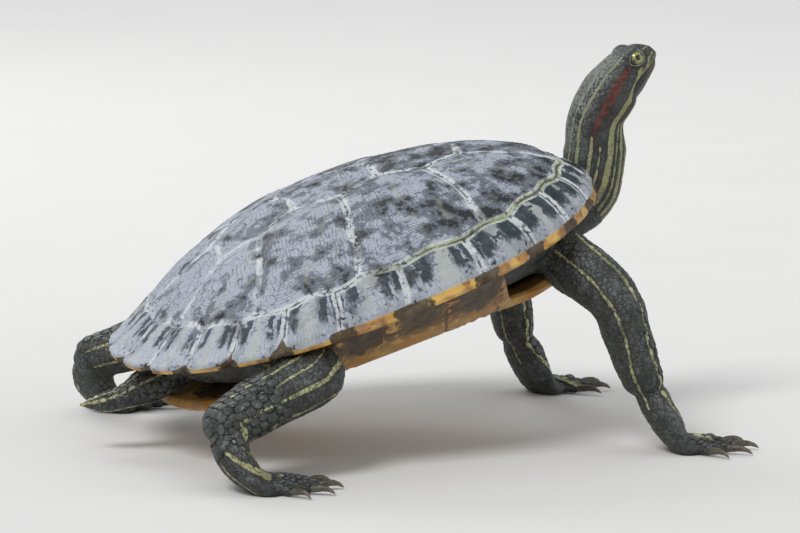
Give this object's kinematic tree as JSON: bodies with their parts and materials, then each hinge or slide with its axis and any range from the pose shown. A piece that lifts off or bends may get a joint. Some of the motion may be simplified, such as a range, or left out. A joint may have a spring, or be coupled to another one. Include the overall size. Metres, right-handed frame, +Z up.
{
  "type": "red-eared slider turtle",
  "caption": "Life-size still model of an adult red-eared slider turtle, standing nose-up on its feet with its neck and head raised.",
  "frame": {"origin": "on the floor, under the middle of the animal's bounding box", "axes": "+X forwards to the snout, +Y to the animal's left, +Z up; the floor that it stands on is z = 0"},
  "size_m": [0.2501, 0.2174, 0.1505],
  "materials": {
    "carapace_horn": "dry horn, blue-grey with a pale dusty film, satin",
    "plastron_horn": "yellow-orange horn with dark blotches, satin",
    "skin": "dark olive-grey scaly skin with pale yellow stripes",
    "eye": "wet, glossy",
    "claw": "dark horn, satin"
  },
  "bodies": {
    "root": {"carapace": "carapace_horn", "plastron": "plastron_horn", "trunk": "skin", "neck": "skin", "head": "skin", "lower_jaw": "skin", "eye_left": "eye", "eye_right": "eye", "tail": "skin", "upper_arm_right": "skin", "forearm_right": "skin", "forefoot_right": "skin", "thigh_right": "skin", "shank_right": "skin", "hindfoot_right": "skin", "upper_arm_left": "skin", "forearm_left": "skin", "forefoot_left": "skin", "thigh_left": "skin", "shank_left": "skin", "hindfoot_left": "skin", "fore_claw_right_1": "claw", "fore_claw_right_2": "claw", "fore_claw_right_3": "claw", "fore_claw_right_4": "claw", "fore_claw_right_5": "claw", "fore_claw_left_1": "claw", "fore_claw_left_2": "claw", "fore_claw_left_3": "claw", "fore_claw_left_4": "claw", "fore_claw_left_5": "claw", "hind_claw_right_1": "claw", "hind_claw_right_2": "claw", "hind_claw_right_3": "claw", "hind_claw_right_4": "claw", "hind_claw_left_1": "claw", "hind_claw_left_2": "claw", "hind_claw_left_3": "claw", "hind_claw_left_4": "claw"}
  },
  "joints": []
}
